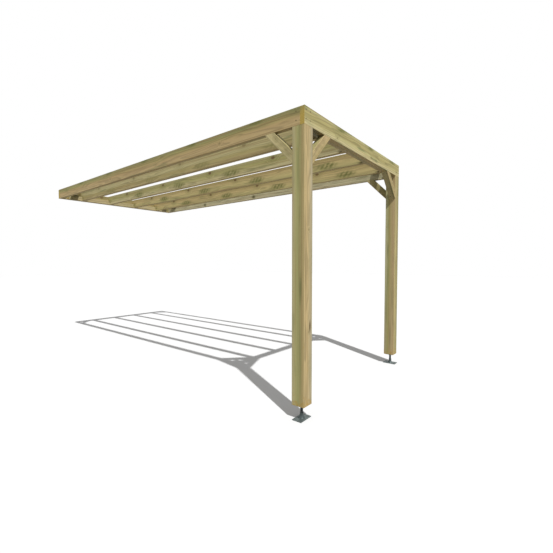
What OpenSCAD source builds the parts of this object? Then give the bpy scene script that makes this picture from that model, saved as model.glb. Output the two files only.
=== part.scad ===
// Lean-to pergola: an open timber roof frame that stands on two front posts and is
// bolted to a wall along its ledger.
// Frame: the origin is the centre of the ledger's back face, which lies on the wall.
// +X runs to the right along the wall, +Y points into the wall and +Z points up.

/* [Overall] */
// Width over the outer faces of the side rafters
overall_w = 2145; // [1600:1:3000]
// Depth from the wall to the front beam's outer face
overall_d = 5000; // [2000:1:6000]
// Height of the roof frame's top above the ground
overall_h = 2525; // [2000:1:3100]

/* [Timbers] */
// Height of the ledger, the front beam and the rafters
timber_h = 145; // [110:1:220]
// Thickness of the rafters
rafter_t = 45; // [35:1:60]
// Thickness of the wall ledger
ledger_t = 45; // [35:1:60]
// Thickness of the front beam
beam_t = 45; // [35:1:60]
// Side of the square posts
post_w = 120; // [90:1:150]
// Thickness of the bearing strips that carry the inner rafters
strip_t = 45; // [35:1:60]

/* [Braces] */
// Width of a brace, measured in the plane of its mitres
brace_w = 70; // [45:1:95]
// Thickness of a brace, measured across the plane of its mitres
brace_t = 70; // [45:1:90]
// Gap between a level brace and the tongue of the post in its corner
tongue_gap = 27; // [10:1:80]
// Gap between a level brace and the nearest inner rafter
rafter_gap = 4; // [2:1:20]
// Gap between a level brace and the bearing strip below it
strip_gap = 5; // [2:1:20]

/* [Feet] */
// Height of the post's lower end above the ground
foot_h = 120; // [90:1:180]
// Longer side of the base plate
base_l = 150; // [130:1:200]
// Shorter side of the base plate
base_w = 90; // [80:1:150]
// Thickness of the base plate
base_t = 8; // [5:1:12]
// Distance from a bolt hole's centre to each edge of the base plate
hole_edge = 16; // [12:1:20]
// Diameter of a bolt hole in the base plate
hole_d = 11; // [9:1:14]
// Diameter of the threaded stem
stem_d = 24; // [16:1:30]
// Height of the conical collar round the foot of the stem
collar_h = 46; // [30:1:60]
// Diameter of the collar at the base plate
collar_d = 54; // [40:1:60]
// Wall thickness of the collar at its upper end
collar_wall = 3; // [2:0.5:6]
// Side of the square head plate under the post
head_w = 90; // [70:1:120]
// Thickness of the head plate
head_t = 6; // [4:1:10]
// Height of the thin nut under the head plate
nut_h = 12; // [10:1:24]
// Size of the nut across its flats
nut_af = 36; // [30:1:46]
// Radial clearance between the stem and what goes round it
stem_gap = 0.3; // [0.1:0.1:0.5]

/* [Hidden] */

LEFT = -1;
RIGHT = 1;
INNER_RAFTERS = 4;

frame_top = timber_h / 2;
frame_bottom = -timber_h / 2;
ground_z = frame_top - overall_h;
side_x = overall_w / 2;
front_y = -overall_d;
rafter_l = overall_d - beam_t - ledger_t;

// The tongue of a post fills the corner between the side rafter and the front beam
tongue_x = post_w - rafter_t;
tongue_y = post_w - beam_t;
post_bottom = ground_z + foot_h;
post_l = frame_bottom - post_bottom;
tongue_top = frame_top - post_bottom;
post_axis_x = side_x - post_w / 2;
post_axis_y = front_y + post_w / 2;

// A level brace passes the tongue, and its length sets the first bay of the roof
brace_leg = tongue_x + tongue_y + (brace_w + tongue_gap) * sqrt(2);
outer_bay = brace_leg + rafter_gap;
inner_first = 1.5 * rafter_t + outer_bay - side_x;
rafter_pitch = -2 * inner_first / (INNER_RAFTERS - 1);

strip_h = timber_h - brace_t - strip_gap;
strip_l = overall_w - 2 * post_w;

stem_bottom = ground_z + base_t;
stem_l = foot_h - base_t - head_t;
bore_d = stem_d + 2 * stem_gap;
collar_top_d = bore_d + 2 * collar_wall;
round_fn = 48;
through = 1;

timber_colour = "#aaa06c";
brace_colour = "#b3a274";
steel_colour = "#5d6766";

// A rafter whose middle stands at x, from the front beam to the ledger
module rafter(x) {
    translate([x - rafter_t / 2, front_y + beam_t, frame_bottom])
        cube([rafter_t, rafter_l, timber_h]);
}

module side_rafter(side) {
    color(timber_colour)
        rafter(side * (side_x - rafter_t / 2));
}

// The inner rafters divide the roof evenly between the level braces, and each is
// notched at both ends to sit on the bearing strips
module inner_rafter(number) {
    color(timber_colour)
        difference() {
            rafter(inner_first + (number - 1) * rafter_pitch);
            strip_space(front_y + beam_t, through);
            strip_space(-ledger_t - strip_t, through);
        }
}

// The room of a bearing strip that starts at y, widened by more at the faces of the notch
module strip_space(y, more) {
    translate([-strip_l / 2, y, frame_bottom - more])
        cube([strip_l, strip_t, strip_h + more]);
}

module front_bearing_strip() {
    color(timber_colour)
        strip_space(front_y + beam_t, 0);
}

module wall_bearing_strip() {
    color(timber_colour)
        strip_space(-ledger_t - strip_t, 0);
}

module wall_ledger() {
    color(timber_colour)
        translate([-side_x, -ledger_t, frame_bottom])
            cube([overall_w, ledger_t, timber_h]);
}

module front_beam() {
    color(timber_colour)
        translate([-side_x, front_y, frame_bottom])
            cube([overall_w, beam_t, timber_h]);
}

// A post is notched at its top: the side rafter and the front beam stand on its
// shoulders, and its tongue rises between them to the top of the roof
module post(side) {
    on_side(side)
        color(timber_colour)
            translate([-side_x, front_y, post_bottom])
                union() {
                    cube([post_w, post_w, post_l]);
                    translate([rafter_t, beam_t, 0])
                        cube([tongue_x, tongue_y, tongue_top]);
                }
}

// A straight brace across the corner at the origin, with its mitred ends on both axes
module corner_piece() {
    inner_leg = brace_leg - brace_w * sqrt(2);
    color(brace_colour)
        linear_extrude(height = brace_t)
            polygon([[inner_leg, 0], [brace_leg, 0], [0, brace_leg], [0, inner_leg]]);
}

// Mirrors a shape made for the left side onto the chosen side
module on_side(side) {
    mirror([side == RIGHT ? 1 : 0, 0, 0])
        children();
}

// The knee brace under the side rafter, flush with the frame's side
module side_brace(side) {
    on_side(side)
        translate([-side_x, front_y + post_w, frame_bottom])
            rotate([0, 90, 0])
                corner_piece();
}

// The knee brace under the front beam, flush with the frame's front
module front_brace(side) {
    on_side(side)
        translate([-side_x + post_w, front_y, frame_bottom])
            rotate([-90, 0, 0])
                corner_piece();
}

// The level brace in the corner of a side rafter and the front beam
module corner_brace_front(side) {
    on_side(side)
        translate([-side_x + rafter_t, front_y + beam_t, frame_top - brace_t])
            corner_piece();
}

// The level brace in the corner of a side rafter and the ledger
module corner_brace_wall(side) {
    on_side(side)
        translate([-side_x + rafter_t, -ledger_t, frame_top - brace_t])
            rotate([0, 0, -90])
                corner_piece();
}

// Moves a foot's part onto the axis of its post; the right foot is turned a quarter
module at_foot(side, z) {
    translate([side * post_axis_x, post_axis_y, z])
        rotate([0, 0, side == RIGHT ? 90 : 0])
            children();
}

module base_plate(side) {
    hole_x = base_l / 2 - hole_edge;
    hole_y = base_w / 2 - hole_edge;
    at_foot(side, ground_z)
        color(steel_colour)
            difference() {
                translate([-base_l / 2, -base_w / 2, 0])
                    cube([base_l, base_w, base_t]);
                for (x = [-hole_x, hole_x], y = [-hole_y, hole_y])
                    translate([x, y, -1])
                        cylinder(h = base_t + 2, d = hole_d, $fn = round_fn);
            }
}

module foot_collar(side) {
    at_foot(side, stem_bottom)
        color(steel_colour)
            difference() {
                cylinder(h = collar_h, d1 = collar_d, d2 = collar_top_d, $fn = round_fn);
                translate([0, 0, -1])
                    cylinder(h = collar_h + 2, d = bore_d, $fn = round_fn);
            }
}

module foot_stem(side) {
    at_foot(side, stem_bottom)
        color(steel_colour)
            cylinder(h = stem_l, d = stem_d, $fn = round_fn);
}

module foot_nut(side) {
    at_foot(side, post_bottom - head_t - nut_h)
        color(steel_colour)
            difference() {
                cylinder(h = nut_h, d = nut_af / cos(30), $fn = 6);
                translate([0, 0, -1])
                    cylinder(h = nut_h + 2, d = bore_d, $fn = round_fn);
            }
}

module head_plate(side) {
    at_foot(side, post_bottom - head_t)
        color(steel_colour)
            translate([-head_w / 2, -head_w / 2, 0])
                cube([head_w, head_w, head_t]);
}

wall_ledger();
front_beam();
side_rafter(LEFT);  // side_rafter_left
side_rafter(RIGHT);  // side_rafter_right
inner_rafter(1);  // rafter_1
inner_rafter(2);  // rafter_2
inner_rafter(3);  // rafter_3
inner_rafter(4);  // rafter_4
front_bearing_strip();
wall_bearing_strip();
post(LEFT);  // post_left
post(RIGHT);  // post_right
side_brace(LEFT);  // side_brace_left
side_brace(RIGHT);  // side_brace_right
front_brace(LEFT);  // front_brace_left
front_brace(RIGHT);  // front_brace_right
corner_brace_front(LEFT);  // corner_brace_front_left
corner_brace_front(RIGHT);  // corner_brace_front_right
corner_brace_wall(LEFT);  // corner_brace_wall_left
corner_brace_wall(RIGHT);  // corner_brace_wall_right
base_plate(LEFT);  // base_plate_left
base_plate(RIGHT);  // base_plate_right
foot_collar(LEFT);  // foot_collar_left
foot_collar(RIGHT);  // foot_collar_right
foot_stem(LEFT);  // foot_stem_left
foot_stem(RIGHT);  // foot_stem_right
foot_nut(LEFT);  // foot_nut_left
foot_nut(RIGHT);  // foot_nut_right
head_plate(LEFT);  // head_plate_left
head_plate(RIGHT);  // head_plate_right
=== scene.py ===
"""Looks of a lean-to pergola of pressure-treated pine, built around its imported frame.

Every timber is a new surface worked out with numpy: the outline of its side is carried
through its thickness, and a quarter circle at both faces eases its edges. The steel feet are
surfaces of revolution and threads. Timber takes its colour from grain coordinates that are
written on each piece, so that the figure of the wood runs with the length of every timber.
"""
import logging
import math
from dataclasses import dataclass, field
from enum import Enum
from functools import reduce

import bmesh
import bpy
import numpy as np
from bpy.types import Material, Node, NodeSocket, NodeTree, Object
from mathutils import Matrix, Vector


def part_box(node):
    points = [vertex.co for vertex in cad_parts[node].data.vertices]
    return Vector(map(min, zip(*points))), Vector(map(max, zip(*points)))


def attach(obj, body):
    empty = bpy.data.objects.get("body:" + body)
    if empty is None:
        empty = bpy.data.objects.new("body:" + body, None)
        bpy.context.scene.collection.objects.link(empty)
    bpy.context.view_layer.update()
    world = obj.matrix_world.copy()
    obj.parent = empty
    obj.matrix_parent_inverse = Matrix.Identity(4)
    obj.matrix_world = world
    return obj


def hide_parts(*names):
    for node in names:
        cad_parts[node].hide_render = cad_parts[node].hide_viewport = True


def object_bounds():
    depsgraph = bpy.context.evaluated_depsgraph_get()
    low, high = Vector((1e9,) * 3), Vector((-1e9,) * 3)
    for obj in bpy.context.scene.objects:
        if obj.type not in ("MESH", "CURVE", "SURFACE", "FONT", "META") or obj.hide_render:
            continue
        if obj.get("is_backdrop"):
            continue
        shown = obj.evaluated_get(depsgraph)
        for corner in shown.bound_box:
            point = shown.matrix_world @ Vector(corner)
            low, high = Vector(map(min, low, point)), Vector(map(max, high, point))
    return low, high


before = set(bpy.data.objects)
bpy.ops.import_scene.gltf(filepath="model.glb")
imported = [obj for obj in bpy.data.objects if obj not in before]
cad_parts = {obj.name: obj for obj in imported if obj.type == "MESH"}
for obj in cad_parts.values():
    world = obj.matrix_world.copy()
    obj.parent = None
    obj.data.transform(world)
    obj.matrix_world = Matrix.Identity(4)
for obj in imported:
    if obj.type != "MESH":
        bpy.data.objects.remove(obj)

LOG = logging.getLogger("pergola")
MM = 0.001
TIMBER_SLOT = "treated_timber"
STEEL_SLOT = "foot_steel"
ROOT_BODY = "root"
SIDES = ("left", "right")
# Each timber is cut from another stretch of one long log, this many millimetres further on.
LOG_STEP = 7310.0


class Face(Enum):
    """The four long faces of a timber, in the order in which its tints go round it."""

    OUTER = 0
    UPPER = 1
    INNER = 2
    UNDER = 3


# ---------------------------------------------------------------- colours and nodes


def linear(hex_colour: str) -> tuple[float, float, float, float]:
    """Linear colour of an sRGB hex value.

    Args:
        hex_colour: Six hex digits, with or without a leading hash.

    Returns:
        Red, green, blue and an alpha of 1.
    """
    digits = hex_colour.lstrip("#")
    srgb = np.array([int(digits[i:i + 2], 16) for i in (0, 2, 4)]) / 255
    value = np.where(srgb <= 0.04045, srgb / 12.92, ((srgb + 0.055) / 1.055) ** 2.4)
    return (*value.tolist(), 1.0)


def add(tree: NodeTree, kind: str, links: dict | None = None, **settings) -> Node:
    """Adds one node with its settings and links.

    Args:
        tree: The node tree that takes the node.
        kind: Type name of the node without its ShaderNode prefix.
        links: Value, node or output socket for each input, by the input's name or number.
        **settings: Properties of the node.

    Returns:
        The new node.
    """
    node = tree.nodes.new("ShaderNode" + kind)
    for name, value in settings.items():
        setattr(node, name, value)
    for name, value in (links or {}).items():
        if isinstance(value, Node):
            value = value.outputs[0]
        if isinstance(value, NodeSocket):
            tree.links.new(value, node.inputs[name])
        else:
            node.inputs[name].default_value = value
    return node


def set_stops(ramp: Node, stops: list[tuple[float, tuple]]) -> Node:
    """Gives a colour ramp its stops.

    Args:
        ramp: The ColorRamp node.
        stops: Position and linear colour of each stop, in rising order.

    Returns:
        The same node.
    """
    elements = ramp.color_ramp.elements
    while len(elements) < len(stops):
        elements.new(1.0)
    for element, (position, colour) in zip(elements, stops):
        element.position = position
        element.color = colour
    return ramp


def new_material(name: str) -> tuple[Material, NodeTree]:
    """Makes an empty node material.

    Args:
        name: The finish's name.

    Returns:
        The material and its node tree.
    """
    material = bpy.data.materials.new(name)
    material.use_nodes = True
    material.node_tree.nodes.clear()
    return material, material.node_tree


# ---------------------------------------------------------------- finishes


@dataclass(frozen=True)
class Knots:
    """Knots that come back along a timber, in millimetres from its first end and middle line."""

    pitch: float = 1095.0
    first: float = 690.0
    height: float = 43.0
    spread: float = 8.0
    radius: float = 24.0
    strength: float = 0.85


@dataclass(frozen=True)
class Flames:
    """Groups of green licks where the wood took up more preservative, in millimetres.

    Each lick leans over, and a group fades out towards its ends and its edges.
    """

    pitch: float = 1105.0
    first: float = -20.0
    height: float = -22.0
    length: float = 190.0
    reach: float = 56.0
    lick: float = 62.0
    strength: float = 0.95


@dataclass(frozen=True)
class Streak:
    """A dark mark that follows the grain.

    Its middle is in millimetres along and in faces round the timber, so that 0.5 is the middle
    of the outer face and 3.5 that of the under one. Its half sizes are in the same units.
    """

    along: float
    around: float
    length: float
    width: float
    colour: str = "#6b6c42"
    strength: float = 0.7


@dataclass(frozen=True)
class TreatedPine:
    """Planed pine after pressure treatment.

    The preservative gives the pale wood an olive cast that is greener in the sapwood near the
    edges and pinkish brown where the heartwood took up little of it. Growth rings show as long
    lines, knots as dark ovals, and sawn ends are orange, because they were cut after treatment.
    """

    name: str
    outer: tuple[str, ...]
    upper: tuple[str, ...]
    inner: tuple[str, ...]
    under: tuple[str, ...]
    pith: tuple[float, float] = (-30.0, 95.0)
    ring_width: float = 9.0
    ring_depth: float = 0.22
    patches: float = 0.55
    patch_colour: str = "#74794a"
    streak_colour: str = "#9d8158"
    knots: Knots = field(default_factory=Knots)
    flames: Flames = field(default_factory=Flames)
    streaks: tuple[Streak, ...] = ()
    knot_colour: str = "#6a5230"
    flame_colour: str = "#71713c"
    end_colour: str = "#cbb057"
    end_ring_colour: str = "#9b833d"
    end_damp_colour: str = "#8f8a55"
    stain_colour: str = "#b08f49"
    # The foot of a post soaks up rusty, orange water over this many millimetres.
    foot_stain: float = 0.0
    # Length, width and depth in millimetres of the figures that the noise draws along the grain.
    drift_size: tuple[float, float, float] = (900.0, 85.0, 85.0)
    streak_size: tuple[float, float, float] = (1500.0, 15.0, 15.0)
    cloud_size: tuple[float, float, float] = (420.0, 42.0, 42.0)
    wave_size: tuple[float, float, float] = (650.0, 60.0, 60.0)
    feather_size: tuple[float, float, float] = (45.0, 18.0, 60.0)
    smoke_size: tuple[float, float, float] = (70.0, 26.0, 60.0)
    blotch_size: tuple[float, float, float] = (22.0, 11.0, 11.0)
    fibre_length: float = 140.0
    # Rings are 4 to 9 mm apart in fast-grown pine, and the wider ones are drawn, so that they show.
    # Fibres are under 0.5 mm wide, and are drawn 2 mm wide for the same reason.
    fibre_width: float = 2.0

    def material(self) -> Material:
        """Builds the finish as one solid pattern in the timber's grain coordinates.

        Returns:
            The material.
        """
        material, tree = new_material(self.name)
        grain = add(tree, "Attribute", attribute_name="grain").outputs["Vector"]
        cut_end = add(tree, "Attribute", attribute_name="cut_end").outputs["Fac"]
        wrap = add(tree, "SeparateXYZ", {0: add(tree, "UVMap", uv_map="wrap")})
        around, along = wrap.outputs["X"], wrap.outputs["Y"]

        drift = self._figure(tree, grain, self.drift_size, 2.0)
        base = self._tints(tree, around, drift)
        streaks = self._figure(tree, grain, self.streak_size, 3.0)
        base = self._blend(tree, base, linear(self.streak_colour), streaks, (0.50, 0.68), 0.55)
        clouds = self._figure(tree, grain, self.cloud_size, 3.0)
        base = self._blend(tree, base, linear(self.patch_colour), clouds, (0.56, 0.70), self.patches)

        knot, halo = self._knot_masks(tree, along, grain, drift)
        ring = self._rings(tree, grain, drift, halo)
        shade = add(tree, "MapRange", {0: ring, 3: 1.0 - self.ring_depth, 4: 1.06})
        base = add(tree, "MixRGB", {0: 1.0, 1: base, 2: shade}, blend_type="MULTIPLY")
        fibre_size = (self.fibre_length, self.fibre_width, self.fibre_width)
        fibre = self._figure(tree, grain, fibre_size, 2.0)
        shade = add(tree, "MapRange", {0: fibre, 1: 0.3, 2: 0.7, 3: 0.93, 4: 1.05})
        base = add(tree, "MixRGB", {0: 1.0, 1: base, 2: shade}, blend_type="MULTIPLY")

        flame = self._flame_mask(tree, along, grain)
        base = add(tree, "MixRGB", {0: flame, 1: base, 2: linear(self.flame_colour)})
        bruise = add(tree, "Math", {0: halo, 1: 0.35 * self.knots.strength}, operation="MULTIPLY")
        base = add(tree, "MixRGB", {0: bruise, 1: base, 2: linear(self.flame_colour)})
        base = add(tree, "MixRGB", {0: knot, 1: base, 2: linear(self.knot_colour)})
        for streak in self.streaks:
            base = self._streaked(tree, base, streak, around, along, drift)
        if self.foot_stain:
            base = self._stained_foot(tree, base, along, grain)
        end = self._sawn_end(tree, grain, clouds, ring, shade)
        colour = add(tree, "MixRGB", {0: cut_end, 1: base, 2: end})

        relief = add(tree, "Math", {0: ring, 1: 0.6, 2: fibre}, operation="MULTIPLY_ADD")
        bump = add(tree, "Bump", {"Strength": 0.55, "Distance": 0.5 * MM, "Height": relief})
        roughness = add(tree, "MapRange", {0: streaks, 1: 0.3, 2: 0.7, 3: 0.66, 4: 0.82})
        shader = add(tree, "BsdfPrincipled", {
            "Base Color": colour, "Roughness": roughness, "Normal": bump, "IOR": 1.5})
        shader.inputs["Specular IOR Level"].default_value = 0.35
        add(tree, "OutputMaterial", {0: shader})
        return material

    def _figure(self, tree: NodeTree, grain: NodeSocket, size: tuple[float, float, float],
                detail: float) -> Node:
        """Noise figure whose blobs have the given size in millimetres along, across and through."""
        scaled = add(tree, "VectorMath", {0: grain, 1: tuple(1 / s for s in size)}, operation="MULTIPLY")
        return add(tree, "TexNoise", {"Vector": scaled, "Scale": 1.0, "Detail": detail})

    def _blend(self, tree: NodeTree, base: Node, colour: tuple, mask: Node, span: tuple[float, float],
               most: float) -> Node:
        """Blends a colour in where a mask rises through a span, to at most the given share.

        Args:
            tree: The material's node tree.
            base: The colour so far.
            colour: The colour that is blended in.
            mask: Value that decides where.
            span: Mask values at which the blend starts and is complete.
            most: Share of the colour where it is complete.

        Returns:
            The new colour.
        """
        share = add(tree, "MapRange", {0: mask, 1: span[0], 2: span[1], 4: most},
                    interpolation_type="SMOOTHSTEP")
        return add(tree, "MixRGB", {0: share, 1: base, 2: colour})

    def _tints(self, tree: NodeTree, around: NodeSocket, drift: Node) -> Node:
        """Colour across the four faces, in bands that wander a little along the timber.

        Args:
            tree: The material's node tree.
            around: Place round the section, from 0 to 1.
            drift: Slow noise that all the figure wanders with.

        Returns:
            The colour of the bands.
        """
        wander = 0.05
        place = add(tree, "Math", {0: drift, 1: wander, 2: around}, operation="MULTIPLY_ADD")
        place = add(tree, "Math", {0: place, 1: wander / 2}, operation="SUBTRACT")
        place = add(tree, "Math", {0: place}, operation="FRACT")
        faces = (self.outer, self.upper, self.inner, self.under)
        stops = [((number + (step + 0.5) / len(tints)) / len(faces), linear(tint))
                 for number, tints in enumerate(faces) for step, tint in enumerate(tints)]
        return set_stops(add(tree, "ValToRGB", {0: place}), stops)

    def _rings(self, tree: NodeTree, grain: NodeSocket, drift: Node, halo: Node) -> Node:
        """Growth rings: the distance from a wandering pith, saw-toothed once per ring width.

        A ring starts pale with the spring wood, darkens to the summer wood, and ends at once.
        Near a knot the rings bend aside by up to two ring widths.

        Args:
            tree: The material's node tree.
            grain: Place in the timber, in millimetres.
            drift: Slow noise that all the figure wanders with.
            halo: Mask of the wood that swirls round the knots.

        Returns:
            Brightness of the rings, from 0 for summer wood to 1 for spring wood.
        """
        flat = add(tree, "VectorMath", {0: grain, 1: (0, 1, 1)}, operation="MULTIPLY")
        away = add(tree, "VectorMath", {0: flat, 1: (0, *self.pith)}, operation="SUBTRACT")
        radius = add(tree, "VectorMath", {0: away}, operation="LENGTH").outputs["Value"]
        wide = self._figure(tree, grain, self.wave_size, 1.0)
        turns = add(tree, "Math", {0: radius, 1: 1 / self.ring_width}, operation="MULTIPLY")
        turns = add(tree, "Math", {0: drift, 1: 5.0, 2: turns}, operation="MULTIPLY_ADD")
        turns = add(tree, "Math", {0: wide, 1: 2.5, 2: turns}, operation="MULTIPLY_ADD")
        turns = add(tree, "Math", {0: halo, 1: 2.0, 2: turns}, operation="MULTIPLY_ADD")
        phase = add(tree, "Math", {0: turns}, operation="FRACT")
        pale, dark = (1.0, 1.0, 1.0, 1.0), (0.0, 0.0, 0.0, 1.0)
        middle = (0.75, 0.75, 0.75, 1.0)
        stops = [(0.0, dark), (0.12, pale), (0.55, middle), (0.88, dark), (1.0, dark)]
        return set_stops(add(tree, "ValToRGB", {0: phase}), stops)

    def _knot_masks(self, tree: NodeTree, along: NodeSocket, grain: NodeSocket,
                    drift: Node) -> tuple[Node, Node]:
        """Mask of the knots and of the wood that swirls round them.

        A knot is an oval, half as long again as high, in each stretch of one pitch.

        Args:
            tree: The material's node tree.
            along: Length along the timber, in metres.
            grain: Place in the timber, in millimetres.
            drift: Slow noise that all the figure wanders with.

        Returns:
            The knots' mask and that of the wood round them.
        """
        knots = self.knots
        cell, offset = self._cells(tree, along, knots.pitch, knots.first)
        chance = add(tree, "TexWhiteNoise", {1: cell}, noise_dimensions="1D").outputs["Value"]
        height = add(tree, "Math", {0: chance, 1: knots.spread, 2: knots.height - knots.spread / 2},
                     operation="MULTIPLY_ADD")
        across = add(tree, "SeparateXYZ", {0: grain}).outputs["Y"]
        rise = add(tree, "Math", {0: across, 1: height}, operation="SUBTRACT")
        rise = add(tree, "Math", {0: drift, 1: 6.0, 2: rise}, operation="MULTIPLY_ADD")
        run = add(tree, "Math", {0: offset, 1: 0.66}, operation="MULTIPLY")
        spot = add(tree, "CombineXYZ", {0: run, 1: rise})
        distance = add(tree, "VectorMath", {0: spot}, operation="LENGTH").outputs["Value"]
        knot = add(tree, "MapRange", {0: distance, 1: knots.radius * 0.5, 2: knots.radius,
                                      3: knots.strength, 4: 0.0}, interpolation_type="SMOOTHSTEP")
        halo = add(tree, "MapRange", {0: distance, 1: knots.radius * 0.8, 2: knots.radius * 3.5,
                                      3: 1.0, 4: 0.0}, interpolation_type="SMOOTHSTEP")
        return knot, halo

    def _flame_mask(self, tree: NodeTree, along: NodeSocket, grain: NodeSocket) -> Node:
        """Mask of the flames: a wave along the timber that leans with the height, inside an oval.

        The wave's phase is the run less seven tenths of the rise, both over one lick, and the
        oval fades from its middle to its edge.

        Args:
            tree: The material's node tree.
            along: Length along the timber, in metres.
            grain: Place in the timber, in millimetres.

        Returns:
            The mask.
        """
        flames = self.flames
        _, offset = self._cells(tree, along, flames.pitch, flames.first)
        across = add(tree, "SeparateXYZ", {0: grain}).outputs["Y"]
        rise = add(tree, "Math", {0: across, 1: flames.height}, operation="SUBTRACT")
        run_share = add(tree, "Math", {0: offset, 1: 1 / flames.length}, operation="MULTIPLY")
        rise_share = add(tree, "Math", {0: rise, 1: 1 / flames.reach}, operation="MULTIPLY")
        spot = add(tree, "CombineXYZ", {0: run_share, 1: rise_share})
        distance = add(tree, "VectorMath", {0: spot}, operation="LENGTH").outputs["Value"]
        inside = add(tree, "MapRange", {0: distance, 1: 0.35, 2: 1.0, 3: flames.strength, 4: 0.0},
                     interpolation_type="SMOOTHSTEP")
        turns = add(tree, "Math", {0: offset, 1: 1 / flames.lick}, operation="MULTIPLY")
        turns = add(tree, "Math", {0: rise, 1: -0.7 / flames.lick, 2: turns}, operation="MULTIPLY_ADD")
        feather = self._figure(tree, grain, self.feather_size, 3.0)
        turns = add(tree, "Math", {0: feather, 1: 0.8, 2: turns}, operation="MULTIPLY_ADD")
        wave = add(tree, "Math", {0: turns, 1: 0.5}, operation="PINGPONG")
        smoke = self._figure(tree, grain, self.smoke_size, 2.0)
        dense = add(tree, "Math", {0: smoke, 1: 1.5, 2: -0.3}, operation="MULTIPLY_ADD")
        licks = add(tree, "MapRange", {0: wave, 1: 0.0, 2: 0.5, 3: 0.0, 4: 0.55},
                    interpolation_type="SMOOTHSTEP")
        licks = add(tree, "Math", {0: licks, 1: dense}, operation="ADD", use_clamp=True)
        return add(tree, "Math", {0: inside, 1: licks}, operation="MULTIPLY")

    def _streaked(self, tree: NodeTree, base: Node, streak: Streak, around: NodeSocket, along: NodeSocket,
                  drift: Node) -> Node:
        """Lays one streak on: a long oval that fades from its middle and wanders with the grain.

        Args:
            tree: The material's node tree.
            base: The colour so far.
            streak: The mark.
            around: Place round the section, from 0 to 1.
            along: Length along the timber, in metres.
            drift: Slow noise that all the figure wanders with.

        Returns:
            The new colour.
        """
        run = add(tree, "Math", {0: along, 1: 1 / (streak.length * MM), 2: -streak.along / streak.length},
                  operation="MULTIPLY_ADD")
        swing = add(tree, "Math", {0: around, 1: len(Face) / streak.width, 2: -streak.around / streak.width},
                    operation="MULTIPLY_ADD")
        swing = add(tree, "Math", {0: drift, 1: 1.2, 2: swing}, operation="MULTIPLY_ADD")
        swing = add(tree, "Math", {0: swing, 1: 0.6}, operation="SUBTRACT")
        spot = add(tree, "CombineXYZ", {0: run, 1: swing})
        distance = add(tree, "VectorMath", {0: spot}, operation="LENGTH").outputs["Value"]
        share = add(tree, "MapRange", {0: distance, 1: 0.15, 2: 1.0, 3: streak.strength, 4: 0.0},
                    interpolation_type="SMOOTHSTEP")
        return add(tree, "MixRGB", {0: share, 1: base, 2: linear(streak.colour)})

    def _stained_foot(self, tree: NodeTree, base: Node, along: NodeSocket, grain: NodeSocket) -> Node:
        """Orange blotches that thin out upwards from the first end of the timber.

        Args:
            tree: The material's node tree.
            base: The colour so far.
            along: Length along the timber, in metres.
            grain: Place in the timber, in millimetres.

        Returns:
            The new colour.
        """
        blotches = self._figure(tree, grain, self.blotch_size, 3.0)
        height = add(tree, "MapRange", {0: along, 1: 0.0, 2: self.foot_stain * MM, 3: 0.1, 4: -0.16})
        level = add(tree, "Math", {0: blotches, 1: height}, operation="ADD")
        share = add(tree, "MapRange", {0: level, 1: 0.48, 2: 0.62, 4: 0.7}, interpolation_type="SMOOTHSTEP")
        return add(tree, "MixRGB", {0: share, 1: base, 2: linear(self.stain_colour)})

    def _sawn_end(self, tree: NodeTree, grain: NodeSocket, clouds: Node, ring: Node, shade: Node) -> Node:
        """Orange end grain with its rings, which turns olive towards its cloudy upper edge.

        Args:
            tree: The material's node tree.
            grain: Place in the timber, in millimetres.
            clouds: Noise that breaks up the olive's edge.
            ring: Brightness of the rings.
            shade: Brightness of the fibres.

        Returns:
            The colour of the end.
        """
        end = add(tree, "MixRGB", {0: ring, 1: linear(self.end_ring_colour), 2: linear(self.end_colour)})
        end = add(tree, "MixRGB", {0: 1.0, 1: end, 2: shade}, blend_type="MULTIPLY")
        height = add(tree, "SeparateXYZ", {0: grain}).outputs["Y"]
        level = add(tree, "Math", {0: clouds, 1: 120.0, 2: height}, operation="MULTIPLY_ADD")
        damp = add(tree, "MapRange", {0: level, 1: 60.0, 2: 125.0, 4: 0.55}, interpolation_type="SMOOTHSTEP")
        return add(tree, "MixRGB", {0: damp, 1: end, 2: linear(self.end_damp_colour)})

    def _cells(self, tree: NodeTree, along: NodeSocket, pitch: float, first: float) -> tuple[Node, Node]:
        """Number of the pitch that a point lies in, and its distance from the pitch's middle.

        Args:
            tree: The material's node tree.
            along: Length along the timber, in metres.
            pitch: Length of a cell, in millimetres.
            first: Middle of the first cell, in millimetres.

        Returns:
            Number of the cell and distance from its middle, in millimetres.
        """
        start = pitch / 2 - first
        turns = add(tree, "Math", {0: along, 1: 1 / (pitch * MM), 2: start / pitch}, operation="MULTIPLY_ADD")
        cell = add(tree, "Math", {0: turns}, operation="FLOOR")
        part = add(tree, "Math", {0: turns}, operation="FRACT")
        return cell, add(tree, "Math", {0: part, 1: pitch, 2: -pitch / 2}, operation="MULTIPLY_ADD")


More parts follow.
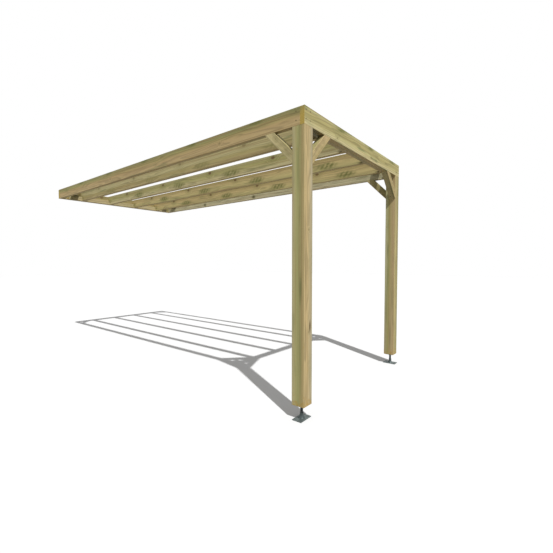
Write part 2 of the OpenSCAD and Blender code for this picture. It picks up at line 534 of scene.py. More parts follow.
@dataclass(frozen=True)
class DulledSteel:
    """Hot-dip galvanised steel that has weathered: a matt grey with large faint zinc crystals."""

    name: str
    colour: str = "#6a7371"
    stain_colour: str = "#545c5a"
    roughness: float = 0.55
    metallic: float = 0.55
    crystal_size: float = 9 * MM
    stain_size: float = 30 * MM
    grit_size: float = 1.5 * MM

    def material(self) -> Material:
        """Builds the finish in object coordinates.

        Returns:
            The material.
        """
        material, tree = new_material(self.name)
        place = add(tree, "TexCoord").outputs["Object"]
        crystal = add(tree, "TexVoronoi", {"Vector": place, "Scale": 1 / self.crystal_size})
        stain = add(tree, "TexNoise", {"Vector": place, "Scale": 1 / self.stain_size, "Detail": 4.0})
        share = add(tree, "MapRange", {0: stain, 1: 0.42, 2: 0.64, 4: 0.8})
        colour = add(tree, "MixRGB", {0: share, 1: linear(self.colour), 2: linear(self.stain_colour)})
        tone = add(tree, "SeparateColor", {0: crystal.outputs["Color"]})
        shade = add(tree, "MapRange", {0: tone, 3: 0.88, 4: 1.1})
        colour = add(tree, "MixRGB", {0: 1.0, 1: colour, 2: shade}, blend_type="MULTIPLY")
        rough = add(tree, "MapRange", {0: stain, 3: self.roughness - 0.1, 4: self.roughness + 0.15})
        grit = add(tree, "TexNoise", {"Vector": place, "Scale": 1 / self.grit_size, "Detail": 2.0})
        bump = add(tree, "Bump", {"Strength": 0.3, "Distance": 0.1 * MM, "Height": grit})
        shader = add(tree, "BsdfPrincipled", {"Base Color": colour, "Roughness": rough, "Normal": bump})
        shader.inputs["Metallic"].default_value = self.metallic
        add(tree, "OutputMaterial", {0: shader})
        return material


# ---------------------------------------------------------------- surfaces


@dataclass
class Surface:
    """Corners and faces of a piece."""

    corners: np.ndarray
    faces: list

    def joined(self, other: "Surface") -> "Surface":
        """This surface and another one in one piece."""
        shifted = [[corner + len(self.corners) for corner in face] for face in other.faces]
        return Surface(np.vstack([self.corners, other.corners]), list(self.faces) + shifted)

    def to_object(self, name: str, smooth_angle: float = 0.0) -> Object:
        """Makes the surface an object with its doubles merged and its faces pointing outwards.

        Args:
            name: The piece's name.
            smooth_angle: Faces that meet at less than this many degrees are shaded smooth.

        Returns:
            The object, at the origin.
        """
        mesh = bpy.data.meshes.new(name)
        mesh.from_pydata(self.corners, [], self.faces)
        work = bmesh.new()
        work.from_mesh(mesh)
        bmesh.ops.remove_doubles(work, verts=work.verts, dist=1e-6)
        bmesh.ops.dissolve_degenerate(work, edges=work.edges, dist=1e-7)
        bmesh.ops.recalc_face_normals(work, faces=work.faces)
        work.to_mesh(mesh)
        work.free()
        if smooth_angle:
            mesh.shade_smooth()
            mesh.set_sharp_from_angle(angle=math.radians(smooth_angle))
        piece = bpy.data.objects.new(name, mesh)
        bpy.context.scene.collection.objects.link(piece)
        return piece


def grid_faces(rows: int, columns: int, ring: bool = True, closed: bool = False) -> np.ndarray:
    """Quads between the points of a grid, whose rows are joined in order.

    Args:
        rows: Number of rows.
        columns: Number of points in a row.
        ring: Whether the last point of a row joins its first one.
        closed: Whether the last row joins the first one.

    Returns:
        Four corner numbers for each quad.
    """
    row = np.arange(rows if closed else rows - 1)[:, None]
    column = np.arange(columns if ring else columns - 1)[None, :]
    below, above = row * columns, (row + 1) % rows * columns
    after = (column + 1) % columns
    quads = np.stack([below + column, below + after, above + after, above + column], axis=-1)
    return quads.reshape(-1, 4)


def drawn_in(corners: np.ndarray, inset: float) -> np.ndarray:
    """Outline whose sides are all moved inwards by the same distance.

    A corner moves by the sum of its two sides' inward normals, divided by one plus their
    product, times the distance.

    Args:
        corners: Corners of an anticlockwise outline.
        inset: The distance.

    Returns:
        The new corners.
    """
    side = np.roll(corners, -1, axis=0) - corners
    side /= np.linalg.norm(side, axis=1, keepdims=True)
    normal = np.column_stack([-side[:, 1], side[:, 0]])
    before = np.roll(normal, 1, axis=0)
    share = 1 + np.sum(normal * before, axis=1, keepdims=True)
    return corners + inset * (normal + before) / share


def rounded(corners: np.ndarray, radius: float, steps: int) -> np.ndarray:
    """Outline whose outward corners are arcs.

    An arc's centre lies the radius inside both sides of its corner, and its points swing from
    the outward normal of the first side to that of the second at an even pace. An inward
    corner keeps all its points in one place.

    Args:
        corners: Corners of an anticlockwise outline.
        radius: Radius of the arcs.
        steps: Number of chords in an arc.

    Returns:
        All points, with one more than the steps for each corner.
    """
    side = np.roll(corners, -1, axis=0) - corners
    side /= np.linalg.norm(side, axis=1, keepdims=True)
    after = np.column_stack([side[:, 1], -side[:, 0]])
    before = np.roll(after, 1, axis=0)
    turn = before[:, 0] * after[:, 1] - before[:, 1] * after[:, 0]
    reach = np.where(turn > 0, radius, 0.0)[:, None, None]
    centres = np.where(turn[:, None] > 0, drawn_in(corners, radius), corners)[:, None, :]
    angle = np.arccos(np.clip(np.sum(before * after, axis=1), -1, 1))[:, None]
    share = np.linspace(0, 1, steps + 1)[None, :]
    first = (np.sin((1 - share) * angle) / np.sin(angle))[..., None]
    second = (np.sin(share * angle) / np.sin(angle))[..., None]
    swing = first * before[:, None, :] + second * after[:, None, :]
    return (centres + reach * swing).reshape(-1, 2)


@dataclass(frozen=True)
class Grain:
    """Where a timber lies: its near lower corner and its three directions.

    Along follows the grain, across climbs the outer face, and depth goes in from that face.
    """

    origin: tuple[float, float, float]
    along: tuple[float, float, float]
    across: tuple[float, float, float]
    depth: tuple[float, float, float]

    def rows(self) -> np.ndarray:
        """The three directions as the rows of a matrix."""
        return np.array([self.along, self.across, self.depth], float)

    def place(self, local: np.ndarray) -> np.ndarray:
        """Points of the frame for lengths along, across and through the timber."""
        return np.array(self.origin) + local @ self.rows()

    def local(self, points: np.ndarray) -> np.ndarray:
        """Lengths along, across and through the timber for points of the frame."""
        return (points - np.array(self.origin)) @ self.rows().T


def slab(outline: np.ndarray, thickness: float, ease: float, grain: Grain, steps: int = 3) -> Surface:
    """Flat piece of timber with eased edges.

    The outline is carried through the thickness on a quarter circle at each face: at an angle
    f from the face it is drawn in by the ease times one minus the sine of f, at a depth of the
    ease times one minus the cosine of f.

    Args:
        outline: Corners of the outer face, along and across, anticlockwise.
        thickness: Size through the timber.
        ease: Radius of the eased edges.
        grain: Where the timber lies.
        steps: Number of chords in each quarter circle.

    Returns:
        The closed surface.
    """
    swing = np.linspace(0, math.pi / 2, steps + 1)
    insets = ease * (1 - np.sin(swing))
    depths = ease * (1 - np.cos(swing))
    insets = np.concatenate([insets, insets[::-1]])
    depths = np.concatenate([depths, thickness - depths[::-1]])
    rings = [np.column_stack([rounded(drawn_in(outline, inset), max(ease - inset, 0.0), steps),
                              np.full(len(outline) * (steps + 1), depth)])
             for inset, depth in zip(insets, depths)]
    count = len(rings[0])
    faces = grid_faces(len(rings), count).tolist()
    faces += [list(range(count))[::-1], list(range((len(rings) - 1) * count, len(rings) * count))]
    return Surface(grain.place(np.vstack(rings)), faces)


def revolved(radii: np.ndarray, heights: np.ndarray, centre: Vector, segments: int,
             closed: bool) -> Surface:
    """Surface of revolution about an upright axis.

    A point is the centre plus its radius times cosine and sine of its angle, at its height.

    Args:
        radii: Radius of each point of the profile, or one row of radii for each point.
        heights: Height of each point of the profile.
        centre: Foot of the axis.
        segments: Number of points round the axis.
        closed: Whether the profile is a loop, as on a tube, or runs from pole to pole.

    Returns:
        The closed surface.
    """
    angle = np.arange(segments) * 2 * math.pi / segments
    radius = np.broadcast_to(np.asarray(radii, float).reshape(len(heights), -1), (len(heights), segments))
    height = np.broadcast_to(np.asarray(heights, float)[:, None], radius.shape)
    points = np.stack([radius * np.cos(angle), radius * np.sin(angle), height], axis=-1)
    faces = grid_faces(len(heights), segments, closed=closed).tolist()
    return Surface(points.reshape(-1, 3) + np.array(centre), faces)


def carve(piece: Object, cutter: Object) -> None:
    """Cuts one object's shape out of another and removes the cutter.

    Args:
        piece: The object that is cut.
        cutter: The object whose shape is taken away.
    """
    cut = piece.modifiers.new("cut", "BOOLEAN")
    cut.operation = "DIFFERENCE"
    cut.solver = "EXACT"
    cut.object = cutter
    bpy.context.view_layer.update()
    graph = bpy.context.evaluated_depsgraph_get()
    mesh = bpy.data.meshes.new_from_object(piece.evaluated_get(graph))
    piece.modifiers.clear()
    old = piece.data
    piece.data = mesh
    bpy.data.meshes.remove(old)
    mesh.name = piece.name
    bpy.data.objects.remove(cutter)


def write_grain(piece: Object, grain: Grain, section: tuple[float, float], seed: int) -> None:
    """Writes the grain coordinates and the wrap of a timber onto its mesh.

    The grain attribute is the place in millimetres along, across and through the timber, from
    the middle of its section, and moved along by the seed so that no two timbers are alike.
    The wrap's first coordinate goes once round the section, a quarter for each face, and its
    second is the length along the timber in metres. The cut_end attribute marks sawn ends.

    Args:
        piece: The timber's object.
        grain: Where the timber lies.
        section: Its size across and through.
        seed: Number of the timber.
    """
    mesh = piece.data
    points = np.empty(len(mesh.vertices) * 3)
    mesh.vertices.foreach_get("co", points)
    local = grain.local(points.reshape(-1, 3))
    middle = np.array([0.0, section[0] / 2, section[1] / 2])
    shift = np.array([seed * LOG_STEP, 0.0, 0.0])
    attribute = mesh.attributes.new("grain", "FLOAT_VECTOR", "POINT")
    attribute.data.foreach_set("vector", ((local - middle) / MM + shift).astype(np.float32).ravel())

    normals = np.empty(len(mesh.polygons) * 3)
    mesh.polygons.foreach_get("normal", normals)
    facing = normals.reshape(-1, 3) @ grain.rows().T
    end_slope = 0.85
    ends = (np.abs(facing[:, 0]) > end_slope).astype(np.float32)
    mesh.attributes.new("cut_end", "FLOAT", "FACE").data.foreach_set("value", ends)
    flat = np.abs(facing[:, 2]) >= np.abs(facing[:, 1])
    side = np.where(flat, np.where(facing[:, 2] <= 0, Face.OUTER.value, Face.INNER.value),
                    np.where(facing[:, 1] > 0, Face.UPPER.value, Face.UNDER.value))

    totals = np.empty(len(mesh.polygons), np.int32)
    mesh.polygons.foreach_get("loop_total", totals)
    owner = np.empty(len(mesh.loops), np.int32)
    mesh.loops.foreach_get("vertex_index", owner)
    side = np.repeat(side, totals)
    climb = np.clip(local[owner, 1] / section[0], 0, 1)
    reach = np.clip(local[owner, 2] / section[1], 0, 1)
    on_face = [side == face.value for face in (Face.OUTER, Face.UPPER, Face.INNER)]
    part = np.select(on_face, [climb, reach, 1 - climb], 1 - reach)
    layer = mesh.uv_layers.new(name="wrap")
    wrap = np.column_stack([(side + part) / len(Face), local[owner, 0]])
    layer.data.foreach_set("uv", wrap.astype(np.float32).ravel())


def finish(piece: Object, material: Material, slot: str, *nodes: str) -> None:
    """Gives a new piece its material and its body, and hides the nodes that it stands for.

    Args:
        piece: The piece.
        material: Its material.
        slot: Name of a material slot; not used.
        *nodes: The nodes that it replaces.
    """
    piece.data.materials.clear()
    piece.data.materials.append(material)
    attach(piece, ROOT_BODY)
    if nodes:
        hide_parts(*nodes)
    LOG.info("%s: %d faces", piece.name, len(piece.data.polygons))


# ---------------------------------------------------------------- timbers


@dataclass
class Timber:
    """One straight timber, made from the box of the node that it replaces."""

    node: str
    material: Material
    seed: int
    screws: "Screws | None" = None
    ease: float = 2.5 * MM

    def box(self) -> tuple[np.ndarray, np.ndarray]:
        """Lowest and highest corner of the node."""
        low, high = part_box(self.node)
        return np.array(low), np.array(high)

    def rectangle(self, length: float, height: float) -> np.ndarray:
        """Outline of a plain side, along and across."""
        return np.array([[0, 0], [length, 0], [length, height], [0, height]], float)

    def dress(self, piece: Object, grain: Grain, section: tuple[float, float]) -> None:
        """Drills the screws' pockets, writes the grain and gives the timber its finish.

        Args:
            piece: The timber's object.
            grain: Where the timber lies.
            section: Its size across and through.
        """
        if self.screws:
            self.screws.drive(piece, self.node)
        write_grain(piece, grain, section, self.seed)
        finish(piece, self.material, TIMBER_SLOT, self.node)


@dataclass
class CrossTimber(Timber):
    """A timber that lies along the wall: the ledger, the front beam or a bearing strip."""

    def build(self) -> None:
        """Builds the timber with its outer face to the front."""
        low, high = self.box()
        size = high - low
        grain = Grain(tuple(low), (1, 0, 0), (0, 0, 1), (0, 1, 0))
        surface = slab(self.rectangle(size[0], size[2]), size[1], self.ease, grain)
        self.dress(surface.to_object(self.node + "_timber"), grain, (size[2], size[1]))


@dataclass
class Rafter(Timber):
    """A timber that runs from the wall to the front, notched over the bearing strips."""

    notched: bool = True

    def outline(self, low: np.ndarray, high: np.ndarray) -> np.ndarray:
        """Side of the rafter, from the wall along to the front and up.

        Args:
            low: Lowest corner of the node.
            high: Highest corner of the node.

        Returns:
            Corners of the outline, anticlockwise.
        """
        length, height = high[1] - low[1], high[2] - low[2]
        if not self.notched:
            return self.rectangle(length, height)
        strip_low, strip_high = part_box("front_bearing_strip")
        notch, sill = strip_high.y - strip_low.y, strip_high.z - strip_low.z
        return np.array([[0, sill], [notch, sill], [notch, 0], [length - notch, 0],
                         [length - notch, sill], [length, sill], [length, height], [0, height]], float)

    def build(self) -> None:
        """Builds the rafter with its outer face to the left."""
        low, high = self.box()
        size = high - low
        grain = Grain((low[0], high[1], low[2]), (0, -1, 0), (0, 0, 1), (1, 0, 0))
        surface = slab(self.outline(low, high), size[0], self.ease, grain)
        self.dress(surface.to_object(self.node + "_timber"), grain, (size[2], size[0]))


@dataclass
class Post(Timber):
    """A square post whose tongue rises between the side rafter and the front beam."""

    overshoot: float = 20 * MM

    def build(self) -> None:
        """Builds the whole post to the top and saws its shoulders away round the tongue."""
        low, high = self.box()
        size = high - low
        grain = Grain(tuple(low), (0, 0, 1), (1, 0, 0), (0, 1, 0))
        surface = slab(self.rectangle(size[2], size[0]), size[1], self.ease, grain)
        piece = surface.to_object(self.node + "_timber")
        side = self.node.rsplit("_", 1)[1]
        for timber in (f"side_rafter_{side}", "front_beam"):
            carve(piece, self._room(timber, low, high))
        self.dress(piece, grain, (size[0], size[1]))

    def _room(self, timber: str, low: np.ndarray, high: np.ndarray) -> Object:
        """Solid that takes the post's wood away where another timber stands on its shoulder.

        Args:
            timber: Node of the timber that stands there.
            low: Lowest corner of the post.
            high: Highest corner of the post.

        Returns:
            The cutter, which reaches past the post wherever the timber does.
        """
        other_low, other_high = (np.array(corner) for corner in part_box(timber))
        outside_low = np.where(other_low <= low, low - self.overshoot, other_low)
        outside_high = np.where(other_high >= high, high + self.overshoot, other_high)
        if timber != "front_beam":
            outside_low[1] = low[1] - self.overshoot
        outside_low[2] = other_low[2]
        extent = outside_high - outside_low
        grain = Grain(tuple(outside_low), (0, 0, 1), (1, 0, 0), (0, 1, 0))
        return slab(self.rectangle(extent[2], extent[0]), extent[1], 0.0, grain, 1).to_object("room")


@dataclass
class Brace(Timber):
    """A brace across a corner, with both ends mitred onto the timbers that it joins."""

    corner: tuple[float, float, float] = (0, 0, 0)
    first_leg: tuple[float, float, float] = (1, 0, 0)
    second_leg: tuple[float, float, float] = (0, 0, -1)
    depth: tuple[float, float, float] = (0, 1, 0)
    width: float = 70 * MM

    def build(self) -> None:
        """Builds the brace with its long face, away from the corner, as its lower side.

        The brace runs from the first leg's end to the second leg's. Its ends lie on the legs,
        at 45 degrees to its length, so the outline is a trapezium.
        """
        low, high = self.box()
        size = high - low
        leg = max(size @ np.abs(np.array(self.first_leg)), size @ np.abs(np.array(self.second_leg)))
        thickness = size @ np.abs(np.array(self.depth))
        first, second = np.array(self.first_leg, float), np.array(self.second_leg, float)
        start = np.array(self.corner) + leg * first
        along = (second - first) / math.sqrt(2)
        inwards = -(first + second) / math.sqrt(2)
        length = leg * math.sqrt(2)
        outline = np.array([[0, 0], [length, 0], [length - self.width, self.width],
                            [self.width, self.width]], float)
        grain = Grain(tuple(start), tuple(along), tuple(inwards), self.depth)
        surface = slab(outline, thickness, self.ease, grain)
        self.dress(surface.to_object(self.node + "_timber"), grain, (self.width, thickness))


@dataclass
class Screws:
    """Countersunk screws with a six-lobed drive, each a hair below the timber in its pocket."""

    steel: Material
    head: float = 10 * MM
    sunk: float = 0.3 * MM
    pocket: float = 2.2 * MM
    pocket_gap: float = 0.5 * MM
    from_top: tuple[float, float] = (30 * MM, 102 * MM)
    brace_spacing: float = 35 * MM
    brace_inset: float = 38 * MM
    segments: int = 36

    def drive(self, piece: Object, node: str) -> None:
        """Drills the pockets of a timber's screws and puts the heads into them.

        Args:
            piece: The timber's object.
            node: Node of the timber.
        """
        places, normals = self._spots(node)
        radius = self.head / 2 + self.pocket_gap
        radii = np.repeat([[0.0], [radius], [radius], [0.0]], self.segments, axis=1)
        ends = np.array([-self.pocket, -self.pocket, self.pocket, self.pocket])
        carve(piece, self._copies(radii, ends, places, normals).to_object("pockets"))
        heads = self._copies(*self._head_rings(), places, normals).to_object(f"{node}_screws", 30)
        finish(heads, self.steel, STEEL_SLOT)

    def _head_rings(self) -> tuple[np.ndarray, np.ndarray]:
        """Radii and heights of one head: a flat disc with a lobed socket.

        The socket's radius is a quarter of the head plus a twentieth times the cosine of six
        times the angle, and its floor lies a seventh of the head below the face.

        Returns:
            Radii for each ring and segment, and the height of each ring.
        """
        angle = np.arange(self.segments) * 2 * math.pi / self.segments
        flat = np.full(self.segments, self.head)
        lobes = self.head * (0.25 + 0.05 * np.cos(6 * angle))
        radii = np.stack([0 * flat, lobes * 0.9, lobes, flat * 0.46, flat * 0.5, flat * 0.42, 0 * flat])
        face, floor, back = -self.sunk, -self.sunk - self.head * 0.14, -self.sunk - self.head * 0.25
        return radii, np.array([floor, floor, face, face, face - self.head * 0.03, back, back])

    def _copies(self, radii: np.ndarray, heights: np.ndarray, places: np.ndarray,
                normals: np.ndarray) -> Surface:
        """One surface of revolution at each place, turned to its normal.

        Args:
            radii: Radius for each ring and segment.
            heights: Height of each ring along the normal.
            places: Middle of each copy.
            normals: Direction of each copy's axis.

        Returns:
            All copies in one surface.
        """
        one = revolved(radii, heights, Vector((0, 0, 0)), self.segments, closed=False)
        up = normals / np.linalg.norm(normals, axis=1, keepdims=True)
        helper = np.where(np.abs(up[:, 2:]) > 0.9, [[1.0, 0, 0]], [[0, 0, 1.0]])
        right = np.cross(helper, up)
        right /= np.linalg.norm(right, axis=1, keepdims=True)
        turned = np.stack([right, np.cross(up, right), up], axis=1)
        points = places[:, None, :] + one.corners[None] @ turned
        step = np.arange(len(places))[:, None, None] * len(one.corners)
        faces = (np.array(one.faces)[None] + step).reshape(-1, 4).tolist()
        return Surface(points.reshape(-1, 3), faces)

    def _spots(self, node: str) -> tuple[np.ndarray, np.ndarray]:
        """Place and outward direction of each of a timber's screws.

        Args:
            node: Node of the timber.

        Returns:
            The places and the directions, one row for each screw.
        """
        if node == "front_beam":
            return self._beam_spots()
        if node.startswith("side_rafter"):
            return self._rafter_spots(node.rsplit("_", 1)[1])
        return self._brace_spots(node)

    def _beam_spots(self) -> tuple[np.ndarray, np.ndarray]:
        """Two rows at each end of the front beam, into the side rafter's end and the tongue.

        Returns:
            The places and the directions, one row for each screw.
        """
        low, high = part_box("front_beam")
        places = []
        for side in SIDES:
            outer_x, inner_x, tongue_x, _ = self._corner(side)
            columns = ((outer_x + inner_x) / 2, (inner_x + tongue_x) / 2)
            places += [(x, low.y, high.z - drop) for x in columns for drop in self.from_top]
        return np.array(places), np.tile([0.0, -1, 0], (len(places), 1))

    def _rafter_spots(self, side: str) -> tuple[np.ndarray, np.ndarray]:
        """One row through each side rafter into the tongue.

        Args:
            side: Name of the side.

        Returns:
            The places and the directions, one row for each screw.
        """
        outer_x, inner_x, _, tongue_y = self._corner(side)
        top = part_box("front_beam")[1].z
        places = [(outer_x, tongue_y, top - drop) for drop in self.from_top]
        return np.array(places), np.tile([np.sign(outer_x - inner_x), 0, 0], (len(places), 1))

    def _corner(self, side: str) -> tuple[float, float, float, float]:
        """Outer and inner face of a side rafter, the post's inner face and the tongue's middle.

        Args:
            side: Name of the side.

        Returns:
            Three places along X and one along Y.
        """
        post_low, post_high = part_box(f"post_{side}")
        low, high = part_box(f"side_rafter_{side}")
        tongue_y = (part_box("front_beam")[1].y + post_high.y) / 2
        if side == "left":
            return low.x, high.x, post_high.x, tongue_y
        return high.x, low.x, post_low.x, tongue_y

    def _brace_spots(self, node: str) -> tuple[np.ndarray, np.ndarray]:
        """Two screws near each end of a knee brace, driven up through its long lower face.

        Args:
            node: Node of the brace.

        Returns:
            The places and the directions, one row for each screw.
        """
        name, side = node.rsplit("_", 1)
        sign = -1 if side == "left" else 1
        low, high = (np.array(corner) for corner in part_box(node))
        if name == "side_brace":
            run, across = np.array([0.0, 1, 0]), np.array([1.0, 0, 0])
        else:
            run, across = np.array([-sign, 0.0, 0]), np.array([0.0, 1, 0])
        foot = np.where(run < 0, high, low)
        foot = foot + across * ((low + high) / 2 - foot)
        leg = (high - low) @ np.abs(run)
        slope = (run + np.array([0.0, 0, 1])) / math.sqrt(2)
        normal = (run - np.array([0.0, 0, 1])) / math.sqrt(2)
        lengths = (self.brace_inset, leg * math.sqrt(2) - self.brace_inset)
        places = [foot + slope * length + across * shift
                  for length in lengths for shift in (-self.brace_spacing / 2, self.brace_spacing / 2)]
        return np.array(places), np.tile(normal, (len(places), 1))


# ---------------------------------------------------------------- sub-assemblies


@dataclass
class Roof:
    """The flat roof frame: ledger, front beam, bearing strips and six rafters."""

    beam: Material
    ledger: Material
    strip: Material
    side_rafter: Material
    grey_rafter: Material
    green_rafter: Material
    plain_rafter: Material
    tan_rafter: Material
    screws: Screws

    def build(self) -> None:
        """Builds every timber of the roof."""
        CrossTimber("front_beam", self.beam, 1, self.screws).build()
        CrossTimber("wall_ledger", self.ledger, 2).build()
        CrossTimber("front_bearing_strip", self.strip, 3).build()
        CrossTimber("wall_bearing_strip", self.strip, 4).build()
        Rafter("side_rafter_left", self.side_rafter, 5, self.screws, notched=False).build()
        Rafter("side_rafter_right", self.plain_rafter, 6, self.screws, notched=False).build()
        for number, material in enumerate((self.grey_rafter, self.green_rafter,
                                           self.tan_rafter, self.tan_rafter), start=1):
            Rafter(f"rafter_{number}", material, 6 + number).build()


@dataclass
class Stand:
    """The two posts and the eight braces that stiffen the corners of the frame."""

    posts: tuple[Material, Material]
    brace: Material
    front_brace: Material
    level_brace: Material
    screws: Screws

    def build(self) -> None:
        """Builds the posts and the braces of both sides."""
        for number, side in enumerate(SIDES):
            sign = -1 if side == "left" else 1
            Post(f"post_{side}", self.posts[number], 11 + number).build()
            self._braces(side, sign, 20 + 10 * number)

    def _braces(self, side: str, sign: int, seed: int) -> None:
        """Builds the four braces of one side.

        Args:
            side: Name of the side.
            sign: Direction of the side along X.
            seed: Number of the first brace.
        """
        inwards = (-sign, 0, 0)
        post_low, post_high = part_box(f"post_{side}")
        rafter_low, rafter_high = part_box(f"side_rafter_{side}")
        outer_x = post_low.x if sign < 0 else post_high.x
        post_x = post_high.x if sign < 0 else post_low.x
        rafter_x = rafter_high.x if sign < 0 else rafter_low.x
        beam_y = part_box("front_beam")[1].y
        ledger_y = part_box("wall_ledger")[0].y
        bottom = rafter_low.z
        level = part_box(f"corner_brace_front_{side}")[0].z
        Brace(f"side_brace_{side}", self.brace, seed, self.screws,
              corner=(outer_x, post_high.y, bottom), first_leg=(0, 1, 0), second_leg=(0, 0, -1),
              depth=inwards).build()
        Brace(f"front_brace_{side}", self.front_brace, seed + 1, self.screws,
              corner=(post_x, post_low.y, bottom), first_leg=inwards, second_leg=(0, 0, -1),
              depth=(0, 1, 0)).build()
        Brace(f"corner_brace_front_{side}", self.level_brace, seed + 2, corner=(rafter_x, beam_y, level),
              first_leg=inwards, second_leg=(0, 1, 0), depth=(0, 0, 1)).build()
        Brace(f"corner_brace_wall_{side}", self.level_brace, seed + 3, corner=(rafter_x, ledger_y, level),
              first_leg=inwards, second_leg=(0, -1, 0), depth=(0, 0, 1)).build()


@dataclass
class Foot:
    """An adjustable steel foot: base plate, flared collar, threaded stem, nut and head plate."""

    side: str
    plate_steel: Material
    collar_steel: Material
    stem_steel: Material
    plate_ease: float = 1.5 * MM
    hole_diameter: float = 11 * MM
    hole_edge: float = 16 * MM
    thread_pitch: float = 3 * MM
    thread_depth: float = 1.84 * MM
    thread_segments: int = 32
    collar_flare: float = 3.0
    collar_wall: float = 3 * MM
    rim_chamfer: float = 0.8 * MM
    bore_chamfer: float = 0.5 * MM
    # Radius of the nut's cone at its faces, as a share of the apothem, and its rise over the run.
    nut_face: float = 0.97
    nut_slope: float = 1.9
    nut_segments: int = 72
    hole_segments: int = 32
    round_segments: int = 64
    stem_gap: float = 0.3 * MM

    def build(self) -> None:
        """Builds the five pieces of the foot."""
        self._plate("base_plate", drilled=True)
        self._plate("head_plate", drilled=False)
        self._collar()
        self._stem()
        self._nut()

    def _box(self, part: str) -> tuple[Vector, Vector, Vector]:
        """Lowest corner, highest corner and foot of the axis of one of the nodes."""
        low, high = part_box(f"{part}_{self.side}")
        return low, high, Vector(((low.x + high.x) / 2, (low.y + high.y) / 2, low.z))

    def _plate(self, part: str, drilled: bool) -> None:
        """A flat plate with eased edges and, on the base, a bolt hole near each corner.

        Args:
            part: Name of the plate, without its side.
            drilled: Whether it has the bolt holes.
        """
        low, high, centre = self._box(part)
        size = high - low
        grain = Grain(tuple(low), (1, 0, 0), (0, 1, 0), (0, 0, 1))
        outline = np.array([[0, 0], [size.x, 0], [size.x, size.y], [0, size.y]], float)
        piece = slab(outline, size.z, self.plate_ease, grain).to_object(f"{part}_{self.side}_steel")
        if drilled:
            reach_x, reach_y = size.x / 2 - self.hole_edge, size.y / 2 - self.hole_edge
            holes = [self._drill(centre + Vector((x, y, 0)), size.z)
                     for x in (-reach_x, reach_x) for y in (-reach_y, reach_y)]
            carve(piece, reduce(Surface.joined, holes).to_object("holes"))
        finish(piece, self.plate_steel, STEEL_SLOT, f"{part}_{self.side}")

    def _drill(self, spot: Vector, depth: float) -> Surface:
        """A round bar the size of one bolt hole, from below the plate to above it.

        Args:
            spot: Middle of the hole, on the plate's lower face.
            depth: Thickness of the plate.

        Returns:
            The bar's surface.
        """
        radius = self.hole_diameter / 2
        heights = np.array([-depth, -depth, 2 * depth, 2 * depth])
        return revolved(np.array([0, radius, radius, 0]), heights, spot, self.hole_segments,
                        closed=False)

    def _collar(self) -> None:
        """The collar: its radius falls from the foot to the neck as a power of the height left."""
        low, high, centre = self._box("foot_collar")
        stem_low, stem_high, _ = self._box("foot_stem")
        bore = (stem_high.x - stem_low.x) / 2 + self.stem_gap
        foot, neck, height = (high.x - low.x) / 2, bore + self.collar_wall, high.z - low.z
        lift = np.linspace(0, 1, 17)
        flare = neck + (foot - neck) * (1 - lift) ** self.collar_flare
        rim = np.array([neck - self.rim_chamfer, bore + self.bore_chamfer, bore, bore])
        radii = np.concatenate([flare, rim])
        heights = np.concatenate([lift * (height - self.rim_chamfer),
                                  [height, height, height - self.bore_chamfer, 0]])
        surface = revolved(radii, heights, centre, self.round_segments, closed=True)
        finish(surface.to_object(f"foot_collar_{self.side}_steel", 40), self.collar_steel, STEEL_SLOT,
               f"foot_collar_{self.side}")

    def _stem(self) -> None:
        """The stem: a right-handed thread whose depth is a rounded wave of height and angle.

        The radius at a height and an angle is the outer radius less the thread's depth times
        half of one minus the cosine of the turns, and both ends are chamfered to the core.
        """
        low, high, centre = self._box("foot_stem")
        length, outer = high.z - low.z, (high.x - low.x) / 2
        per_pitch = 8
        count = int(length / self.thread_pitch * per_pitch) + 1
        heights = np.linspace(0, length, count)
        angle = np.arange(self.thread_segments) * 2 * math.pi / self.thread_segments
        turn = 2 * math.pi * heights[:, None] / self.thread_pitch - angle[None, :]
        radius = outer - self.thread_depth * (1 - np.cos(turn)) / 2
        chamfer = outer - self.thread_depth + np.minimum(heights, length - heights)[:, None]
        radius = np.minimum(radius, chamfer)
        radius = np.vstack([np.zeros((1, self.thread_segments)), radius, np.zeros((1, self.thread_segments))])
        heights = np.concatenate([[0], heights, [length]])
        surface = revolved(radius, heights, centre, self.thread_segments, closed=False)
        finish(surface.to_object(f"foot_stem_{self.side}_steel", 35), self.stem_steel, STEEL_SLOT,
               f"foot_stem_{self.side}")

    def _nut(self) -> None:
        """The nut: a hexagon whose corners are turned off by a cone at both faces."""
        low, high, centre = self._box("foot_nut")
        stem_low, stem_high, _ = self._box("foot_stem")
        bore = (stem_high.x - stem_low.x) / 2 + self.stem_gap
        height = high.z - low.z
        corner = max(high.x - low.x, high.y - low.y) / 2
        apothem = corner * math.cos(math.pi / 6)
        angle = np.arange(self.nut_segments) * 2 * math.pi / self.nut_segments
        start = 0.0 if high.x - low.x > high.y - low.y else math.pi / 6
        fold = np.mod(angle - start, math.pi / 3) - math.pi / 6
        hexagon = apothem / np.cos(fold)
        rise = np.array([0, 0, 0.08, 0.16, 0.84, 0.92, 1, 1])
        cone = apothem * self.nut_face + np.minimum(rise, 1 - rise) * height * self.nut_slope
        cone[[0, -1]] = bore
        outer = np.minimum(hexagon[None, :], cone[:, None])
        surface = revolved(outer, rise * height, centre, self.nut_segments, closed=True)
        finish(surface.to_object(f"foot_nut_{self.side}_steel", 25), self.stem_steel, STEEL_SLOT,
               f"foot_nut_{self.side}")


# ---------------------------------------------------------------- studio


